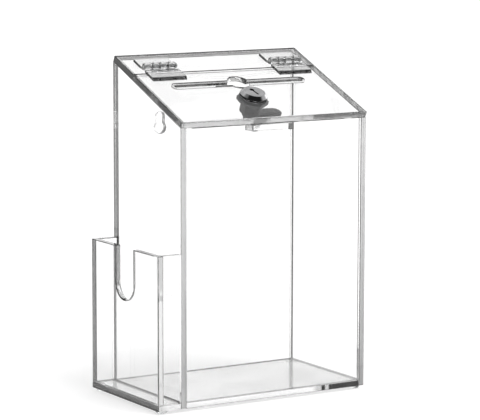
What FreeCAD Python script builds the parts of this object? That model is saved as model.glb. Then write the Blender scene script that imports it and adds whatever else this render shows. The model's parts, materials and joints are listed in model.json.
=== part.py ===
"""Clear acrylic donation box with a sloped, locking lid and a side leaflet pocket.

Millimetres, +Z up, front face towards -Y. The origin is the centre of the footprint, on the
surface that the feet stand on. Everything on the sloped top is drawn in the slope's own
coordinates: X across, S up the slope from its lower front edge, and W out of the slope, with
W = 0 on the plane where the box ends and the top sheets begin.
"""
import FreeCAD, Part
import math
import os

V = FreeCAD.Vector

OVERCUT = 1.0              # how far a cutting shape runs past the solid that it cuts

# ---- driving dimensions: the box -------------------------------------------------------------
SHEET = 5.0                # thickness of every acrylic sheet
BOX_WIDTH = 183.0          # across the two side panels
DEPTH = 115.0              # front face to back face
FRONT_HEIGHT = 234.0       # underside of the base to the lower edge of the slope
SLOPE_DEG = 22.4           # slope of the top
SEAM_GAP = 0.3             # hinged lid to the fixed strip
LID_GAP = 0.15             # hinged lid's underside to the panels that it rests on
LID_LENGTH = 88.0          # hinged lid, measured up the slope
POCKET_WIDTH = 22.0        # leaflet pocket, added to the left of the box
POCKET_HEIGHT = 130.0      # underside of the base to the pocket's rim

# ---- driving dimensions: openings ------------------------------------------------------------
SLOT_LENGTH = 131.0        # note slot
SLOT_WIDTH = 7.5
SLOT_S = 64.9              # centre line of the slot, up the slope
COIN_HOLE_RADIUS = 9.5     # round enlargement in the middle of the slot
COIN_HOLE_S = 66.0
KEYHOLE_X = 46.9           # wall-hanging keyholes, in from each side of the box
KEYHOLE_Z = 222.2          # centre of the round part, above the underside of the base
KEYHOLE_RADIUS = 5.1
KEYHOLE_NECK_RADIUS = 3.8
KEYHOLE_RISE = 10.0        # round part to the centre of the neck's end
NOTCH_RADIUS = 15.0        # thumb notch in the pocket's outer wall
NOTCH_BOTTOM = 85.3        # above the underside of the base

# ---- driving dimensions: feet and catch ------------------------------------------------------
FOOT_RADIUS = 5.0
FOOT_TREAD_RADIUS = 3.2
FOOT_HEIGHT = 2.8
FOOT_SHOULDER_HEIGHT = 1.26
FOOT_BULGE = 0.35          # dome's middle, outside the straight line from tread to shoulder
FOOT_BULGE_LEVEL = 0.35    # share of the dome's height at which it bulges
FOOT_INSET = 6.5           # foot centre, in from both edges
CATCH_LENGTH = 41.0
CATCH_DEPTH = 13.0
CATCH_TOP_DROP = 1.5       # catch top, below the lower edge of the slope
CATCH_HEIGHT = 5.3

# ---- driving dimensions: hinges --------------------------------------------------------------
HINGE_OFFSET_X = 63.0      # hinge centre, either side of the box's middle
HINGE_WIDTH = 33.0
HINGE_S = 94.0             # pin axis, up the slope
HINGE_AXIS_HEIGHT = 3.8    # pin axis, above the top face of the lid
KNUCKLE_RADIUS = 3.4
KNUCKLE_CLEARANCE = 0.4    # other leaf to a knuckle's outside
KNUCKLE_LONG = 8.0         # rear leaf's knuckles
KNUCKLE_SHORT = 6.7        # front leaf's knuckles
KNUCKLE_GAP = 0.3
LEAF_THICKNESS = 2.4
LEAF_REACH_REAR = 17.5     # pin axis to the leaf's end
LEAF_REACH_FRONT = 20.0
LEAF_BEVEL = 2.0           # slanted end of the front leaf
LEAF_RELIEF = 0.4          # front leaf's underside, above the fixed strip
PIN_RADIUS = 1.4
PIN_CLEARANCE = 0.05
PIN_HEAD_RADIUS = 2.5
PIN_HEAD_LENGTH = 2.4
WEB_OVERLAP = 1.0          # web's run into its leaf

# ---- driving dimensions: cam lock ------------------------------------------------------------
LOCK_S = 40.0              # lock axis, up the slope
LOCK_HEAD_RADIUS = 12.0
LOCK_FACE_RADIUS = 9.4
LOCK_HEAD_HEIGHT = 3.8
LOCK_RIM_HEIGHT = 0.8      # straight rim under the head's bevel
LOCK_BODY_RADIUS = 9.3
LOCK_BODY_FLATS = 16.4     # across the body's two flats
LOCK_BODY_DEPTH = 19.5     # body's end, below the lid's top face
LOCK_HOLE_CLEARANCE = 0.1
PLUG_RADIUS = 6.25
PLUG_CLEARANCE = 0.05
PLUG_FLANGE_RADIUS = 8.3
PLUG_FLANGE_LENGTH = 1.6
PLUG_FLANGE_GAP = 0.2
PLUG_SHANK_SIDE = 7.0      # square end that carries the cam
KEYWAY_WIDTH = 1.8
KEYWAY_LENGTH = 11.0
KEYWAY_LOBE_RADIUS = 2.1
KEYWAY_DEPTH = 14.5
KEYWAY_TURN_DEG = 11.0     # keyway, off the line of the slope
WAFER_COUNT = 5
WAFER_PITCH = 2.2
WAFER_THICKNESS = 0.9
WAFER_WIDTH = 4.6
WAFER_LENGTH = 11.2
WAFER_GAP = 0.1
WAFER_RIM = 1.6            # metal left at each end of a tumbler's window
WAFER_FIRST = 1.8          # first wafer, below the plug's flange
WASHER_RADIUS = 12.6
WASHER_THICKNESS = 1.0
NUT_ACROSS_FLATS = 24.0
NUT_THICKNESS = 4.0
CAM_GAP = 0.4              # housing's end to the cam
CAM_WIDTH = 13.0
CAM_REACH = 31.5           # lock axis to the cam's tip
CAM_THICKNESS = 2.2
CAM_SQUARE_CLEARANCE = 0.1
CAM_WASHER_RADIUS = 6.0
CAM_WASHER_THICKNESS = 1.0
SCREW_RADIUS = 2.5
SCREW_LENGTH = 9.0
SCREW_END_GAP = 1.0        # screw's end to the bottom of its tapped hole
SCREW_HEAD_FLATS = 8.0
SCREW_HEAD_HEIGHT = 3.5

# ---- places worked out from the driving dimensions -------------------------------------------
SLOPE = math.radians(SLOPE_DEG)
SLOPE_LENGTH = DEPTH / math.cos(SLOPE)
LID_TOP = LID_GAP + SHEET                      # W of the hinged lid's top face
LID_LEAN = LID_TOP * math.sin(SLOPE)           # the square-cut lid edge overhangs the front

X_LEFT = -(BOX_WIDTH + POCKET_WIDTH) / 2.0 + POCKET_WIDTH
X_RIGHT = X_LEFT + BOX_WIDTH
X_MIDDLE = (X_LEFT + X_RIGHT) / 2.0
X_POCKET = X_LEFT - POCKET_WIDTH
Y_FRONT = -(DEPTH - LID_LEAN) / 2.0
Y_BACK = Y_FRONT + DEPTH
Z_BASE = FOOT_HEIGHT
Z_FLOOR = Z_BASE + SHEET
Z_SLOPE = Z_BASE + FRONT_HEIGHT
Z_POCKET = Z_BASE + POCKET_HEIGHT

HINGE_W = LID_TOP + HINGE_AXIS_HEIGHT


def save(shape, name):
    """Write one node's STEP file."""
    shape.exportStep(os.path.join("parts", name + ".step"))


def block(x0, x1, y0, y1, z0, z1):
    """A box between two corners."""
    return Part.makeBox(x1 - x0, y1 - y0, z1 - z0, V(x0, y0, z0))


def cylinder(radius, start, direction, length):
    return Part.makeCylinder(radius, length, start, direction)


def prism_x(points, x0, x1):
    """A closed outline of (y, z) points, extruded along X."""
    corners = [V(x0, y, z) for y, z in points]
    face = Part.Face(Part.makePolygon(corners + corners[:1]))
    return face.extrude(V(x1 - x0, 0, 0))


def prism_w(points, w0, w1):
    """A closed outline of (x, s) points, extruded along W."""
    corners = [V(x, s, w0) for x, s in points]
    face = Part.Face(Part.makePolygon(corners + corners[:1]))
    return face.extrude(V(0, 0, w1 - w0))


def turned(profile, x, s):
    """A solid of revolution about the W axis through (x, s), from (radius, w) points."""
    corners = [V(x + r, s, w) for r, w in profile]
    face = Part.Face(Part.makePolygon(corners + corners[:1]))
    return face.revolve(V(x, s, 0), V(0, 0, 1), 360)


def hexagon(across_flats, x, s):
    radius = across_flats / math.sqrt(3.0)
    steps = [math.radians(60 * i) for i in range(6)]
    return [(x + radius * math.cos(a), s + radius * math.sin(a)) for a in steps]


def rounded_slot(x, s, length, width, w0, w1):
    """A slot with round ends, along X."""
    half = length / 2.0 - width / 2.0
    slot = block(x - half, x + half, s - width / 2.0, s + width / 2.0, w0, w1)
    for side in (-1, 1):
        end = cylinder(width / 2.0, V(x + side * half, s, w0), V(0, 0, 1), w1 - w0)
        slot = slot.fuse(end)
    return slot.removeSplitter()


def on_slope(shape):
    """Carry a shape from the slope's coordinates to its place on the box."""
    turn = FreeCAD.Rotation(V(1, 0, 0), SLOPE_DEG)
    shape = shape.copy()
    shape.Placement = FreeCAD.Placement(V(0, Y_FRONT, Z_SLOPE), turn).multiply(shape.Placement)
    return shape


# ---- box panels ------------------------------------------------------------------------------
def base_plate():
    return block(X_LEFT + SHEET, X_RIGHT - SHEET, Y_FRONT, Y_BACK, Z_BASE, Z_FLOOR)


def side_panel(x0):
    """A full-depth side, cut to the slope along its top."""
    z_back = Z_SLOPE + DEPTH * math.tan(SLOPE)
    outline = [(Y_FRONT, Z_BASE), (Y_BACK, Z_BASE), (Y_BACK, z_back), (Y_FRONT, Z_SLOPE)]
    return prism_x(outline, x0, x0 + SHEET)


def cross_panel(y0):
    """A front or back panel, standing on the base between the sides, bevelled to the slope."""
    z0 = Z_SLOPE + (y0 - Y_FRONT) * math.tan(SLOPE)
    z1 = z0 + SHEET * math.tan(SLOPE)
    outline = [(y0, Z_FLOOR), (y0 + SHEET, Z_FLOOR), (y0 + SHEET, z1), (y0, z0)]
    return prism_x(outline, X_LEFT + SHEET, X_RIGHT - SHEET)


def keyhole(x):
    """A round hole for a screw head, with a narrower neck rising from it."""
    y0 = Y_BACK - 2 * SHEET
    length = 3 * SHEET
    along = V(0, 1, 0)
    z = Z_BASE + KEYHOLE_Z
    cut = cylinder(KEYHOLE_RADIUS, V(x, y0, z), along, length)
    cut = cut.fuse(cylinder(KEYHOLE_NECK_RADIUS, V(x, y0, z + KEYHOLE_RISE), along, length))
    neck = block(x - KEYHOLE_NECK_RADIUS, x + KEYHOLE_NECK_RADIUS, y0, y0 + length, z, z + KEYHOLE_RISE)
    return cut.fuse(neck).removeSplitter()


def back_panel():
    panel = cross_panel(Y_BACK - SHEET)
    for x in (X_LEFT + KEYHOLE_X, X_RIGHT - KEYHOLE_X):
        panel = panel.cut(keyhole(x))
    return panel


def fixed_top_strip():
    """The glued rear part of the sloped top."""
    return block(X_LEFT, X_RIGHT, LID_LENGTH + SEAM_GAP, SLOPE_LENGTH, 0, SHEET)


def lock_hole():
    """A round hole with two flats, which stops the lock body from turning."""
    radius = LOCK_BODY_RADIUS + LOCK_HOLE_CLEARANCE
    half_flats = LOCK_BODY_FLATS / 2.0 + LOCK_HOLE_CLEARANCE
    hole = cylinder(radius, V(X_MIDDLE, LOCK_S, -SHEET), V(0, 0, 1), 3 * SHEET)
    between = block(X_MIDDLE - half_flats, X_MIDDLE + half_flats, 0, LID_LENGTH, -SHEET, 2 * SHEET)
    return hole.common(between)


def hinged_lid():
    """The lid sheet, with the note slot, its round enlargement and the lock hole."""
    lid = block(X_LEFT, X_RIGHT, 0, LID_LENGTH, LID_GAP, LID_TOP)
    lid = lid.cut(rounded_slot(X_MIDDLE, SLOT_S, SLOT_LENGTH, SLOT_WIDTH, -SHEET, 2 * SHEET))
    coin_hole = cylinder(COIN_HOLE_RADIUS, V(X_MIDDLE, COIN_HOLE_S, -SHEET), V(0, 0, 1), 3 * SHEET)
    return lid.cut(coin_hole).cut(lock_hole()).removeSplitter()


def catch_block():
    """The strip glued inside the front panel, which the lock's cam turns under."""
    top = Z_SLOPE - CATCH_TOP_DROP
    x0 = X_MIDDLE - CATCH_LENGTH / 2.0
    y0 = Y_FRONT + SHEET
    return block(x0, x0 + CATCH_LENGTH, y0, y0 + CATCH_DEPTH, top - CATCH_HEIGHT, top)


# ---- leaflet pocket --------------------------------------------------------------------------
def pocket_base():
    return block(X_POCKET, X_LEFT, Y_FRONT, Y_BACK, Z_BASE, Z_FLOOR)


def pocket_outer_wall():
    """The full-depth outer wall, with a U-shaped thumb notch in its rim."""
    wall = block(X_POCKET, X_POCKET + SHEET, Y_FRONT, Y_BACK, Z_FLOOR, Z_POCKET)
    y = Y_FRONT + DEPTH / 2.0
    z = Z_BASE + NOTCH_BOTTOM + NOTCH_RADIUS
    start = V(X_POCKET - SHEET, y, z)
    notch = cylinder(NOTCH_RADIUS, start, V(1, 0, 0), 3 * SHEET)
    slot = block(start.x, start.x + 3 * SHEET, y - NOTCH_RADIUS, y + NOTCH_RADIUS, z, Z_POCKET + SHEET)
    return wall.cut(notch.fuse(slot).removeSplitter())


def pocket_end_wall(y0):
    return block(X_POCKET + SHEET, X_LEFT, y0, y0 + SHEET, Z_FLOOR, Z_POCKET)


# ---- feet ------------------------------------------------------------------------------------
def foot(x, y):
    """A self-adhesive bumper: flat top, domed side and a small flat tread."""
    shoulder_z = FOOT_SHOULDER_HEIGHT
    top_z = FOOT_HEIGHT
    middle_radius = (FOOT_RADIUS + FOOT_TREAD_RADIUS) / 2.0 + FOOT_BULGE
    middle = V(middle_radius, 0, shoulder_z * FOOT_BULGE_LEVEL)
    dome = Part.Arc(V(FOOT_TREAD_RADIUS, 0, 0), middle, V(FOOT_RADIUS, 0, shoulder_z)).toShape()
    wall = Part.LineSegment(V(FOOT_RADIUS, 0, shoulder_z), V(FOOT_RADIUS, 0, top_z)).toShape()
    top = Part.LineSegment(V(FOOT_RADIUS, 0, top_z), V(0, 0, top_z)).toShape()
    axis = Part.LineSegment(V(0, 0, top_z), V(0, 0, 0)).toShape()
    tread = Part.LineSegment(V(0, 0, 0), V(FOOT_TREAD_RADIUS, 0, 0)).toShape()
    outline = Part.Face(Part.Wire([dome, wall, top, axis, tread]))
    solid = outline.revolve(V(0, 0, 0), V(0, 0, 1), 360)
    solid.translate(V(x, y, 0))
    return solid


# ---- hinges ----------------------------------------------------------------------------------
def knuckle_spans(x_centre, rear):
    """The X ranges of one leaf's knuckles: long ones on the rear leaf, short on the front."""
    spans = []
    x = x_centre - HINGE_WIDTH / 2.0
    for length, on_rear in ((KNUCKLE_LONG, True), (KNUCKLE_SHORT, False)) * 2:
        if on_rear == rear:
            spans.append((x, x + length))
        x += length + KNUCKLE_GAP
    return spans


def leaf(x_centre, rear):
    """One hinge leaf: a plate on the sheet, and knuckles joined to it by webs."""
    x0 = x_centre - HINGE_WIDTH / 2.0
    x1 = x0 + HINGE_WIDTH
    axis_start = V(x0 - OVERCUT, HINGE_S, HINGE_W)
    top = LID_TOP + LEAF_THICKNESS
    if rear:
        plate = block(x0, x1, HINGE_S + KNUCKLE_RADIUS, HINGE_S + LEAF_REACH_REAR, SHEET, top)
    else:
        tip = HINGE_S - LEAF_REACH_FRONT
        lid_end = LID_LENGTH - SEAM_GAP
        heel = HINGE_S - KNUCKLE_RADIUS
        outline = [(tip, LID_TOP), (lid_end, LID_TOP), (lid_end, LID_TOP + LEAF_RELIEF),
                   (heel, LID_TOP + LEAF_RELIEF), (heel, top), (tip + LEAF_BEVEL, top)]
        plate = prism_x(outline, x0, x1)
    clear = KNUCKLE_RADIUS + KNUCKLE_CLEARANCE
    shape = plate.cut(cylinder(clear, axis_start, V(1, 0, 0), HINGE_WIDTH + 2 * OVERCUT))
    for k0, k1 in knuckle_spans(x_centre, rear):
        shape = shape.fuse(cylinder(KNUCKLE_RADIUS, V(k0, HINGE_S, HINGE_W), V(1, 0, 0), k1 - k0))
        reach = clear + WEB_OVERLAP
        if not rear:
            reach = -reach
        web = block(k0, k1, min(HINGE_S, HINGE_S + reach), max(HINGE_S, HINGE_S + reach),
                    LID_TOP + LEAF_RELIEF, top)
        shape = shape.fuse(web)
    bore = cylinder(PIN_RADIUS + PIN_CLEARANCE, axis_start, V(1, 0, 0), HINGE_WIDTH + 2 * OVERCUT)
    return shape.cut(bore).removeSplitter()


def hinge_pin(x_centre):
    """A straight pin with a domed head at its right end."""
    x0 = x_centre - HINGE_WIDTH / 2.0
    head_x = x0 + HINGE_WIDTH - PIN_HEAD_LENGTH
    pin = cylinder(PIN_RADIUS, V(x0, HINGE_S, HINGE_W), V(1, 0, 0), head_x - x0)
    radius = (PIN_HEAD_RADIUS ** 2 + PIN_HEAD_LENGTH ** 2) / (2.0 * PIN_HEAD_LENGTH)
    ball = Part.makeSphere(radius, V(head_x + PIN_HEAD_LENGTH - radius, HINGE_S, HINGE_W))
    reach = PIN_HEAD_RADIUS + OVERCUT
    half = block(head_x, head_x + PIN_HEAD_LENGTH + OVERCUT, HINGE_S - reach, HINGE_S + reach,
                 HINGE_W - reach, HINGE_W + reach)
    return pin.fuse(ball.common(half)).removeSplitter()


# ---- cam lock --------------------------------------------------------------------------------
LOCK_FACE_W = LID_TOP + LOCK_HEAD_HEIGHT
LOCK_END_W = LID_TOP - LOCK_BODY_DEPTH
FLANGE_SEAT_W = LOCK_FACE_W - PLUG_FLANGE_LENGTH - PLUG_FLANGE_GAP
CAM_TOP_W = LOCK_END_W - CAM_GAP
CAM_UNDER_W = CAM_TOP_W - CAM_THICKNESS
CAM_WASHER_UNDER_W = CAM_UNDER_W - CAM_WASHER_THICKNESS


def lock_housing():
    """The fixed lock body: bevelled head, round barrel with two flats, bored for the plug."""
    bore = PLUG_RADIUS + PLUG_CLEARANCE
    seat = PLUG_FLANGE_RADIUS + PLUG_FLANGE_GAP
    rim_top = LID_TOP + LOCK_RIM_HEIGHT
    head = turned([(bore, LID_TOP), (LOCK_HEAD_RADIUS, LID_TOP), (LOCK_HEAD_RADIUS, rim_top),
                   (LOCK_FACE_RADIUS, LOCK_FACE_W), (seat, LOCK_FACE_W), (seat, FLANGE_SEAT_W),
                   (bore, FLANGE_SEAT_W)], X_MIDDLE, LOCK_S)
    barrel = turned([(bore, LOCK_END_W), (LOCK_BODY_RADIUS, LOCK_END_W),
                     (LOCK_BODY_RADIUS, LID_TOP), (bore, LID_TOP)], X_MIDDLE, LOCK_S)
    half = LOCK_BODY_FLATS / 2.0
    between = block(X_MIDDLE - half, X_MIDDLE + half, 0, LID_LENGTH, LOCK_END_W - OVERCUT, LID_TOP + OVERCUT)
    return head.fuse(barrel.common(between)).removeSplitter()


def with_key(shape):
    """Turn a shape that lies along the slope to the keyway's direction."""
    shape.rotate(V(X_MIDDLE, LOCK_S, 0), V(0, 0, 1), KEYWAY_TURN_DEG)
    return shape


def keyway():
    """The key's slot, with a round lobe at its rear end."""
    top = LOCK_FACE_W + OVERCUT
    length = KEYWAY_DEPTH + OVERCUT
    half = KEYWAY_LENGTH / 2.0
    slot = block(X_MIDDLE - KEYWAY_WIDTH / 2.0, X_MIDDLE + KEYWAY_WIDTH / 2.0,
                 LOCK_S - half, LOCK_S + half, top - length, top)
    lobe_s = LOCK_S + half - KEYWAY_LOBE_RADIUS
    lobe = cylinder(KEYWAY_LOBE_RADIUS, V(X_MIDDLE, lobe_s, top - length), V(0, 0, 1), length)
    return with_key(slot.fuse(lobe).removeSplitter())


def wafer_places():
    """The W of each tumbler's top face."""
    first = FLANGE_SEAT_W - WAFER_FIRST
    return [first - i * WAFER_PITCH for i in range(WAFER_COUNT)]


def wafer(w_top, grow):
    """One flat tumbler, or with grow the slot that it slides in."""
    half_x = WAFER_WIDTH / 2.0 + grow
    half_s = WAFER_LENGTH / 2.0 + grow
    flat = block(X_MIDDLE - half_x, X_MIDDLE + half_x, LOCK_S - half_s, LOCK_S + half_s,
                 w_top - WAFER_THICKNESS - grow, w_top + grow)
    return with_key(flat)


def lock_plug():
    """The turning plug: flange, round barrel, square end for the cam, keyway and tumbler slots."""
    flange_top = LOCK_FACE_W - PLUG_FLANGE_GAP / 2.0
    flange_under = flange_top - PLUG_FLANGE_LENGTH
    plug = turned([(0, LOCK_END_W), (PLUG_RADIUS, LOCK_END_W), (PLUG_RADIUS, flange_under),
                   (PLUG_FLANGE_RADIUS, flange_under), (PLUG_FLANGE_RADIUS, flange_top), (0, flange_top)],
                  X_MIDDLE, LOCK_S)
    half = PLUG_SHANK_SIDE / 2.0
    shank = block(X_MIDDLE - half, X_MIDDLE + half, LOCK_S - half, LOCK_S + half, CAM_UNDER_W, LOCK_END_W)
    plug = plug.fuse(shank).cut(keyway())
    for w in wafer_places():
        plug = plug.cut(wafer(w, WAFER_GAP))
    tapped = cylinder(SCREW_RADIUS, V(X_MIDDLE, LOCK_S, CAM_UNDER_W), V(0, 0, 1), SCREW_LENGTH)
    return plug.cut(tapped).removeSplitter()


def lock_wafers():
    """The row of flat tumblers that the key lifts, each pierced for the key."""
    wafers = []
    half = WAFER_LENGTH / 2.0 - WAFER_RIM
    for w in wafer_places():
        window = block(X_MIDDLE - KEYWAY_WIDTH / 2.0, X_MIDDLE + KEYWAY_WIDTH / 2.0,
                       LOCK_S - half, LOCK_S + half, w - 2 * WAFER_THICKNESS, w + WAFER_THICKNESS)
        wafers.append(wafer(w, 0).cut(with_key(window)))
    return Part.makeCompound(wafers)


def lock_washer():
    bore = LOCK_BODY_RADIUS + LOCK_HOLE_CLEARANCE
    under = LID_GAP - WASHER_THICKNESS
    return turned([(bore, under), (WASHER_RADIUS, under), (WASHER_RADIUS, LID_GAP), (bore, LID_GAP)],
                  X_MIDDLE, LOCK_S)


def lock_nut():
    top = LID_GAP - WASHER_THICKNESS
    under = top - NUT_THICKNESS
    nut = prism_w(hexagon(NUT_ACROSS_FLATS, X_MIDDLE, LOCK_S), under, top)
    bore = LOCK_BODY_RADIUS + LOCK_HOLE_CLEARANCE
    start = V(X_MIDDLE, LOCK_S, under - OVERCUT)
    return nut.cut(cylinder(bore, start, V(0, 0, 1), NUT_THICKNESS + 2 * OVERCUT))


def lock_cam():
    """The flat tongue. It points right, clear of the catch, when the lock is open."""
    half = CAM_WIDTH / 2.0
    tip_x = X_MIDDLE + CAM_REACH - half
    start = V(X_MIDDLE, LOCK_S, CAM_UNDER_W)
    cam = block(X_MIDDLE, tip_x, LOCK_S - half, LOCK_S + half, CAM_UNDER_W, CAM_TOP_W)
    cam = cam.fuse(cylinder(half, start, V(0, 0, 1), CAM_THICKNESS))
    cam = cam.fuse(cylinder(half, V(tip_x, LOCK_S, CAM_UNDER_W), V(0, 0, 1), CAM_THICKNESS))
    side = PLUG_SHANK_SIDE / 2.0 + CAM_SQUARE_CLEARANCE
    square = block(X_MIDDLE - side, X_MIDDLE + side, LOCK_S - side, LOCK_S + side,
                   CAM_UNDER_W - OVERCUT, CAM_TOP_W + OVERCUT)
    return cam.cut(square).removeSplitter()


def cam_washer():
    bore = SCREW_RADIUS + CAM_SQUARE_CLEARANCE
    return turned([(bore, CAM_WASHER_UNDER_W), (CAM_WASHER_RADIUS, CAM_WASHER_UNDER_W),
                   (CAM_WASHER_RADIUS, CAM_UNDER_W), (bore, CAM_UNDER_W)], X_MIDDLE, LOCK_S)


def cam_screw():
    head_under = CAM_WASHER_UNDER_W - SCREW_HEAD_HEIGHT
    head = prism_w(hexagon(SCREW_HEAD_FLATS, X_MIDDLE, LOCK_S), head_under, CAM_WASHER_UNDER_W)
    shank = cylinder(SCREW_RADIUS - CAM_SQUARE_CLEARANCE / 2.0, V(X_MIDDLE, LOCK_S, CAM_WASHER_UNDER_W),
                     V(0, 0, 1), CAM_WASHER_THICKNESS + SCREW_LENGTH - SCREW_END_GAP)
    return head.fuse(shank).removeSplitter()


# ---- write every node ------------------------------------------------------------------------
def upright_nodes():
    """Nodes drawn in the model's own coordinates."""
    nodes = {
        "base_plate": base_plate(),
        "front_panel": cross_panel(Y_FRONT),
        "back_panel": back_panel(),
        "left_panel": side_panel(X_LEFT),
        "right_panel": side_panel(X_RIGHT - SHEET),
        "catch_block": catch_block(),
        "pocket_base": pocket_base(),
        "pocket_outer_wall": pocket_outer_wall(),
        "pocket_front_wall": pocket_end_wall(Y_FRONT),
        "pocket_back_wall": pocket_end_wall(Y_BACK - SHEET),
    }
    for side, x in (("left", X_POCKET + FOOT_INSET), ("right", X_RIGHT - FOOT_INSET)):
        nodes["foot_front_" + side] = foot(x, Y_FRONT + FOOT_INSET)
        nodes["foot_rear_" + side] = foot(x, Y_BACK - FOOT_INSET)
    return nodes


def slope_nodes():
    """Nodes drawn in the slope's coordinates."""
    nodes = {
        "fixed_top_strip": fixed_top_strip(),
        "hinged_lid": hinged_lid(),
        "lock_housing": lock_housing(),
        "lock_plug": lock_plug(),
        "lock_wafers": lock_wafers(),
        "lock_washer": lock_washer(),
        "lock_nut": lock_nut(),
        "lock_cam": lock_cam(),
        "cam_washer": cam_washer(),
        "cam_screw": cam_screw(),
    }
    for side, sign in (("left", -1), ("right", 1)):
        x = X_MIDDLE + sign * HINGE_OFFSET_X
        nodes["hinge_" + side + "_rear_leaf"] = leaf(x, True)
        nodes["hinge_" + side + "_front_leaf"] = leaf(x, False)
        nodes["hinge_" + side + "_pin"] = hinge_pin(x)
    return nodes


def main():
    os.makedirs("parts", exist_ok=True)
    for name, shape in upright_nodes().items():
        save(shape, name)
    for name, shape in slope_nodes().items():
        save(on_slope(shape), name)


main()
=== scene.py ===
"""Looks for the clear acrylic donation box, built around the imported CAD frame.

Sizes below are millimetres unless a name says otherwise. Pieces on the sloped top are drawn in
the slope's own directions: x across, s up the slope and w out of the slope.
"""

import json
import math

import bmesh
import bpy
from mathutils import Matrix, Vector


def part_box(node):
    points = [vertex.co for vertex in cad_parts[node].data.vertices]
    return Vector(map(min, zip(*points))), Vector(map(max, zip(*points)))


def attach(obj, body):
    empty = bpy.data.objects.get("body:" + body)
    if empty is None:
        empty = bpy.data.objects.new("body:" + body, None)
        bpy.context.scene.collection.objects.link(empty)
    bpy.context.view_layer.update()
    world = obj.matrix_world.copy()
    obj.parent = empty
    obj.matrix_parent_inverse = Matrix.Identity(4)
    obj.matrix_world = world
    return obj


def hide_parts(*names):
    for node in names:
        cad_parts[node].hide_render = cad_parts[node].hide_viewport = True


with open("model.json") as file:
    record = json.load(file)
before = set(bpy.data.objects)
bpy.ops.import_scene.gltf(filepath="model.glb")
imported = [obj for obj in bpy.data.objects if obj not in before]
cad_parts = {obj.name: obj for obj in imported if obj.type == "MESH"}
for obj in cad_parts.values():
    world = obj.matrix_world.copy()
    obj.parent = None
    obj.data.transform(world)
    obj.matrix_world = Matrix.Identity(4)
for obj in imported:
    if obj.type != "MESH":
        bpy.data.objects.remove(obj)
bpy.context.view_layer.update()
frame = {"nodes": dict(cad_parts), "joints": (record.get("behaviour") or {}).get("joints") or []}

MM = 0.001
NODES = frame["nodes"]
JOINTS = {joint["name"]: joint for joint in frame["joints"]}

# ---- places taken from the frame -------------------------------------------------------------
LOCK_AXIS = Vector(JOINTS["lock_turn"]["axis"])
UP_SLOPE = Vector((0, -LOCK_AXIS.z, LOCK_AXIS.y))
OUT_OF_SLOPE = -LOCK_AXIS
LOCK_POINT = Vector(JOINTS["lock_turn"]["pos_m"])
HINGE_POINT = Vector(JOINTS["lid_hinge"]["pos_m"])
SLOPE_TURN = Matrix((Vector((1, 0, 0)), UP_SLOPE, OUT_OF_SLOPE)).transposed().to_4x4()

FRONT, BACK, LEFT, RIGHT, UP, DOWN = (0, -1, 0), (0, 1, 0), (-1, 0, 0), (1, 0, 0), (0, 0, 1), (0, 0, -1)
OUT, UPHILL, DOWN_SLOPE = tuple(OUT_OF_SLOPE), tuple(UP_SLOPE), tuple(-UP_SLOPE)

# ---- camera ----------------------------------------------------------------------------------
CAMERA_AZIMUTH_DEG = -31.66      # from straight in front, towards the leaflet pocket
CAMERA_ELEVATION_DEG = 8.14
CAMERA_DISTANCE_M = 2.115
CAMERA_AIM_Z_M = 0.1562
CAMERA_LENS_MM = 184.6
CAMERA_ROLL_DEG = 0.1

# ---- studio light ----------------------------------------------------------------------------
ROOM_GREY = 0.50                 # walls and ceiling
ROOM_DARK = 0.015                # the unlit side behind the camera
BACKDROP_GLOW = 1.0              # pale sweep behind the object
LEFT_LIGHT = 0.2
LEFT_LIGHT_DIRECTION = (-0.87, 0.1, 0.48)
HIGH_LIGHT = 0.06                # panel above and behind, which the lid and the lock's face mirror
HIGH_LIGHT_DIRECTION = (0.52, 0.50, 0.69)
TOP_LIGHT = 0.45
KEY_STRENGTH = 2.3
KEY_SPREAD_DEG = 34
KEY_DIRECTION = (0.16, -0.42, 0.89)
FLOOR_HALF_SIZE_M = 6.0
FLOOR_WHITE = 0.46
FLOOR_GLOW = 0.66                # the floor gives off light, so that it stays pale

# ---- sheet finish ----------------------------------------------------------------------------
JOINT_GAP = 0.03                 # each sheet stands back from its neighbours by this
ACRYLIC_IOR = 1.49
MOULDED_IOR = 1.53
FROST = 0.55                     # light stopped by the saw marks on a cut front end
SCUFFING = 0.22                  # dullness of the level sheets, at the haze's strongest
FACE_TINT = (0.99, 0.99, 0.99)
# colour of the rounded edge lines: painted shade
ARRIS_PAINTED_SHADE = (0.015, 0.015, 0.015)

# ---- lock sizes, in the slope's directions, from the lock's axis ------------------------------
LID_TOP = 5.15                   # w of the lid's top face
LOCK_FACE = 8.95                 # w of the lock's face
LOCK_END = -14.35
HEAD_RADIUS = 12.0
FACE_RADIUS = 9.4
RIM_HEIGHT = 0.8
BODY_RADIUS = 9.3
BODY_HALF_FLATS = 8.2
THREAD_PITCH = 1.1
THREAD_DEPTH = 0.42
THREAD_TOP = -0.6
PLUG_RADIUS = 6.25
FLANGE_RADIUS = 8.3
FLANGE_UNDER = 7.25
KEYWAY_HALF_WIDTH = 0.9
KEYWAY_HALF_LENGTH = 5.5
KEYWAY_LOBE_RADIUS = 2.1
KEYWAY_FLOOR = -5.5
KEYWAY_TURN_DEG = 11
SHANK_HALF_SIDE = 3.5
WAFER_TOP = 5.35                 # w of the first tumbler's top
WAFER_PITCH = 2.2
WAFER_THICKNESS = 0.9
WAFER_COUNT = 5
WAFER_HALF_WIDTH = 2.3
WAFER_HALF_LENGTH = 5.6
WAFER_RIM = 1.6                  # metal left at each end of a tumbler's window
WASHER_RADIUS = 12.6
WASHER_TOP = 0.1
WASHER_UNDER = -0.85
NUT_HALF_FLATS = 12.0
NUT_UNDER = -4.85
CAM_TOP = -14.75
CAM_UNDER = -16.95
CAM_HALF_WIDTH = 6.5
CAM_REACH = 31.5
CAM_WASHER_UNDER = -17.95
SCREW_UNDER = -21.45

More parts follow.
